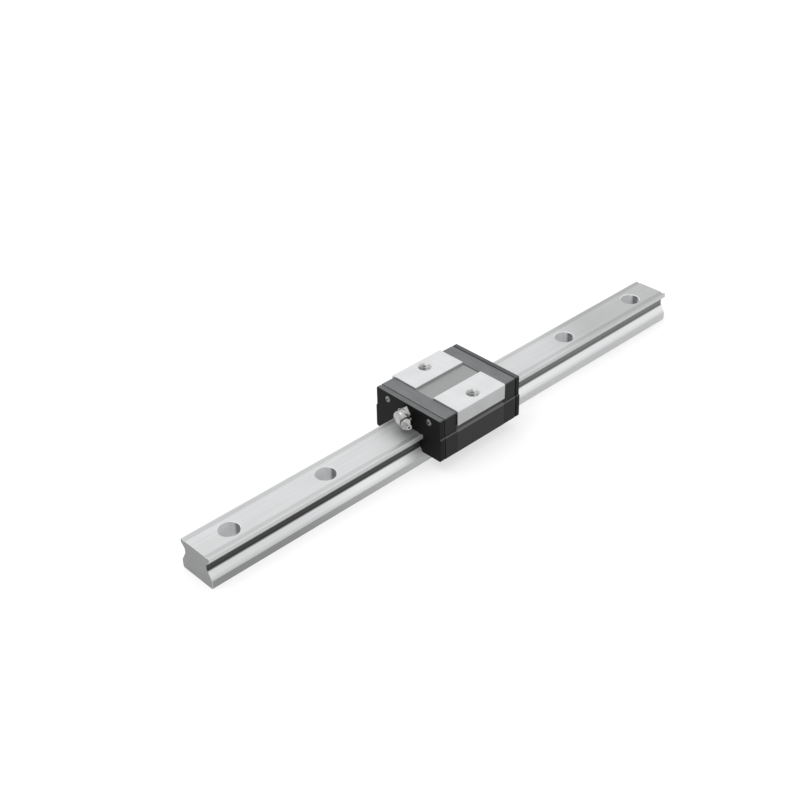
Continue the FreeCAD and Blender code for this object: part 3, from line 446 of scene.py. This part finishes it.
# --------------------------------------------------------- finished pieces

def link_mesh(name, mesh):
    piece = bpy.data.objects.new(name, mesh)
    bpy.context.scene.collection.objects.link(piece)
    return piece


def apply_modifiers(piece):
    """Keep the mesh that the modifiers make and drop the modifiers."""
    depsgraph = bpy.context.evaluated_depsgraph_get()
    made = bpy.data.meshes.new_from_object(piece.evaluated_get(depsgraph))
    piece.modifiers.clear()
    piece.data = made


def join_the_body(piece, node, material):
    piece.data.materials.clear()
    piece.data.materials.append(material)
    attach(piece, node_body[node])


def eased_copy(node, width, material):
    """Stand a copy of a CAD node with its sharp edges eased in the node's place."""
    mesh = frame["nodes"][node].data.copy()
    if node == "block_body":
        widen_tapped_holes(mesh)
    if "custom_normal" in mesh.attributes:
        mesh.attributes.remove(mesh.attributes["custom_normal"])
    shape = bmesh.new()
    shape.from_mesh(mesh)
    bmesh.ops.remove_doubles(shape, verts=shape.verts, dist=WELD_REACH)
    bmesh.ops.dissolve_limit(
        shape, angle_limit=math.radians(FLAT_ANGLE), verts=shape.verts, edges=shape.edges)
    shape.to_mesh(mesh)
    shape.free()
    piece = link_mesh(f"{node}_eased", mesh)
    bevel = piece.modifiers.new("bevel", "BEVEL")
    bevel.width = width
    bevel.segments = 2
    bevel.limit_method = "ANGLE"
    bevel.angle_limit = math.radians(EASED_ANGLE)
    bevel.use_clamp_overlap = False
    apply_modifiers(piece)
    piece.data.shade_smooth()
    piece.data.set_sharp_from_angle(angle=math.radians(SHARP_ANGLE))
    normals = piece.modifiers.new("normals", "WEIGHTED_NORMAL")
    normals.weight = 100
    normals.keep_sharp = True
    apply_modifiers(piece)
    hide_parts(node)
    join_the_body(piece, node, material)


def thread_radius(turns):
    """Radius of a tapped hole's wall, turns of pitch away from the middle of a groove."""
    ramp = abs(turns % 1.0 - 0.5) * 2
    depth = min(max(ramp * THREAD_SLOPE, 0.0), 1.0)
    return THREAD_CORE + (THREAD_RADIUS - THREAD_CORE) * depth


def tapped_sleeve(name, centre, top):
    """The threaded wall of one tapped hole, as a thin closed sleeve with a countersunk mouth."""
    shape = bmesh.new()
    height = THREAD_DEEP - THREAD_MOUTH
    rows = int(height / THREAD_PITCH * THREAD_ROWS)
    rings = []
    for level in [None] + list(range(rows + 1)) + [None]:
        ring = []
        for step in range(THREAD_SEGMENTS):
            angle = 2 * math.pi * step / THREAD_SEGMENTS
            if level is None:
                radius = THREAD_RIM_RADIUS
                z = top - THREAD_RIM if not rings else top - THREAD_DEEP
            else:
                z = top - THREAD_MOUTH - height * level / rows
                radius = thread_radius(z / THREAD_PITCH - step / THREAD_SEGMENTS)
            spot = (centre[0] + radius * math.cos(angle), centre[1] + radius * math.sin(angle), z)
            ring.append(shape.verts.new(spot))
        rings.append(ring)
    for index, ring in enumerate(rings):
        below = rings[(index + 1) % len(rings)]
        for step in range(THREAD_SEGMENTS):
            after = (step + 1) % THREAD_SEGMENTS
            shape.faces.new((ring[step], ring[after], below[after], below[step]))
    bmesh.ops.recalc_face_normals(shape, faces=shape.faces)
    mesh = bpy.data.meshes.new(name)
    shape.to_mesh(mesh)
    shape.free()
    mesh.shade_smooth()
    mesh.set_sharp_from_angle(angle=math.radians(THREAD_SHARP_ANGLE))
    return link_mesh(name, mesh)


def widen_tapped_holes(mesh):
    """Open the drilled holes of the block's copy so that a threaded sleeve fits each one."""
    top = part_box("block_body")[1][2]
    near = 0.15 * MM
    for vertex in mesh.vertices:
        for centre in tapped_centres().values():
            step = Vector((vertex.co.x - centre[0], vertex.co.y - centre[1]))
            on_wall = THREAD_CORE - near < step.length < THREAD_RADIUS + near
            if on_wall and vertex.co.z > top - THREAD_DEEP - near:
                step *= (THREAD_RIM_RADIUS + THREAD_PLAY) / step.length
                vertex.co.x, vertex.co.y = centre[0] + step.x, centre[1] + step.y


def tapped_centres():
    """Where the two tapped holes stand, from the record's mount."""
    mount = next(mount for mount in record["mounts"] if mount["name"] == "carriage_bolts")
    half = mount["dims"]["spacing_y_mm"] / 2 * MM
    return {"left": (mount["pos_m"][0], half), "right": (mount["pos_m"][0], -half)}


def make_valve_spring(material):
    """The coil behind the check ball, as a copy of its CAD node with a mesh of its own."""
    piece = link_mesh("nipple_spring_coil", frame["nodes"]["nipple_spring"].data.copy())
    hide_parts("nipple_spring")
    join_the_body(piece, "nipple_spring", material)
    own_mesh(piece)


def make_threads(materials):
    """Threads of the two tapped holes in the carriage's lands."""
    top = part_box("block_body")[1][2]
    for side, centre in tapped_centres().items():
        sleeve = tapped_sleeve(f"tapped_thread_{side}", centre, top)
        join_the_body(sleeve, "block_body", materials["thread_steel"])


# ------------------------------------------------------------------ studio

def make_floor():
    """Pale floor in one large sheet, lit from within like a light table so that shadows stay faint."""
    ground = cad_bounds[0][2]
    corners = [(FLOOR_HALF * x, FLOOR_HALF * y, ground) for x, y in ((-1, -1), (1, -1), (1, 1), (-1, 1))]
    mesh = bpy.data.meshes.new("floor")
    mesh.from_pydata(corners, [], [(0, 1, 2, 3)])
    s = Surface("floor")
    tone = s.vary(s.noise(50 * MM, 2.0, 0.5), 0.44, 0.46)
    mesh.materials.append(s.finish(s.tinted(tone, 0.0), 0.9, 0.0, Specular_IOR_Level=0.0,
                                   Emission_Color=(1, 1, 1, 1), Emission_Strength=0.62))
    link_mesh("floor", mesh)


def make_panel(name, place, target, size, power):
    """A soft rectangular light."""
    data = bpy.data.lights.new(name, "AREA")
    data.shape = "RECTANGLE"
    data.size, data.size_y = size
    data.energy = power
    lamp = bpy.data.objects.new(name, data)
    lamp.location = place
    lamp.rotation_euler = (Vector(target) - Vector(place)).to_track_quat("-Z", "Y").to_euler()
    bpy.context.scene.collection.objects.link(lamp)


def make_studio():
    """A white tent, brighter overhead than at its foot, with a dark wall low on the near side.

    The wall is there for reflections alone, so the backdrop itself stays plain."""
    world = bpy.data.worlds.new("studio")
    world.use_nodes = True
    tree = world.node_tree
    place = tree.nodes.new("ShaderNodeTexCoord").outputs["Generated"]
    split = tree.nodes.new("ShaderNodeSeparateXYZ")
    tree.links.new(place, split.inputs[0])
    toward = tree.nodes.new("ShaderNodeVectorMath")
    toward.operation = "DOT_PRODUCT"
    toward.inputs[1].default_value = DARK_WALL
    tree.links.new(place, toward.inputs[0])
    tent = world_level(tree, split.outputs[2], 0.0, 0.9, 1.02, 1.12)
    wall = world_level(tree, toward.outputs["Value"], 0.5, 0.9, 1.0, 0.3)
    backdrop = tree.nodes.new("ShaderNodeLightPath").outputs["Is Camera Ray"]
    unseen_wall = world_math(tree, "MAXIMUM", wall, backdrop)
    strength = world_math(tree, "MULTIPLY", tent, unseen_wall)
    tree.links.new(strength, tree.nodes["Background"].inputs["Strength"])
    tree.nodes["Background"].inputs["Color"].default_value = (1, 1, 1, 1)
    bpy.context.scene.world = world
    bpy.context.scene.view_settings.view_transform = "Standard"
    make_panel("over", (-0.5, 0.2, 1.2), (0, 0, 0), (0.5, 0.5), 2.5)


def world_math(tree, operation, first, second):
    """One sum in the world's node tree."""
    node = tree.nodes.new("ShaderNodeMath")
    node.operation = operation
    tree.links.new(first, node.inputs[0])
    tree.links.new(second, node.inputs[1])
    return node.outputs[0]


def world_level(tree, value, low, high, at_low, at_high):
    """Brightness that eases from one level to another as a value rises."""
    level = tree.nodes.new("ShaderNodeMapRange")
    level.interpolation_type = "SMOOTHSTEP"
    for name, number in (("From Min", low), ("From Max", high), ("To Min", at_low), ("To Max", at_high)):
        level.inputs[name].default_value = number
    tree.links.new(value, level.inputs["Value"])
    return level.outputs[0]


# --------------------------------------------------------------------- all

# Width in millimetres of each eased edge, for the pieces that show
EASED = {
    "rail": 0.10, "block_body": 0.12, "end_plate_front": 0.12, "end_plate_rear": 0.12,
    "end_seal_front": 0.12, "end_seal_rear": 0.12, "grease_nipple": 0.10,
    "end_screws_front": 0.05, "end_screws_rear": 0.05, "rear_port_plug": 0.08,
}

# Nodes whose finish differs from the rest of their slot; the rear seal's is a copy of the rubber with painted
# shade on its top
SPECIAL_FINISH = {
    "end_seal_rear": "seal_rubber_rear",
    "seal_core_rear": "seal_rubber_rear",
    "seal_core_front": "coated_core",
}


def main():
    make_camera()
    materials = make_materials()
    for node, piece in frame["nodes"].items():
        material = materials[SPECIAL_FINISH.get(node, node_slot[node])]
        if node in EASED:
            eased_copy(node, EASED[node] * MM, material)
        else:
            for slot in piece.material_slots:
                slot.material = material
    make_threads(materials)
    make_valve_spring(materials["pressed_steel"])
    make_floor()
    make_studio()


main()
